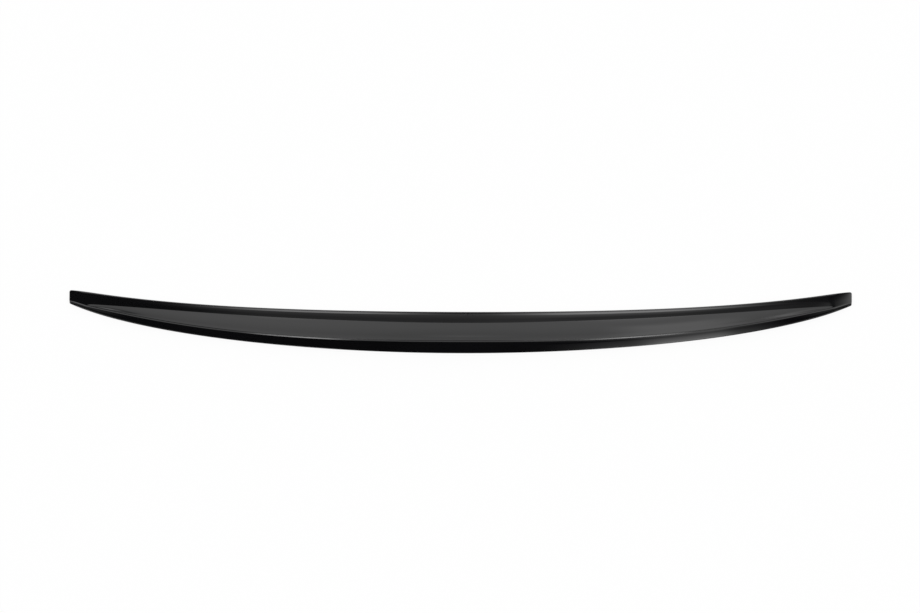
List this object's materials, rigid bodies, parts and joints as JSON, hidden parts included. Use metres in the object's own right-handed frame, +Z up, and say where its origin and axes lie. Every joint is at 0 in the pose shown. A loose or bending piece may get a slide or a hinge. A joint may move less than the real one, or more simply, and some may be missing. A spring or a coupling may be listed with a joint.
{
  "type": "car rear spoiler",
  "caption": "Low boot-lid lip spoiler: a curved one-piece gloss black moulding with a flange, a ramp, a sharp lip and a ribbed underside.",
  "frame": {"origin": "centre of the overall box's bottom face, on the centre line and in the plane of the tape lands", "axes": "+X across the car, to the right seen from behind; +Y towards the car's nose; +Z up"},
  "size_m": [1.21, 0.1486, 0.0177],
  "materials": {
    "gloss_black_abs": "gloss black lacquer over moulded ABS"
  },
  "bodies": {
    "root": {"spoiler": "gloss_black_abs"}
  },
  "joints": []
}
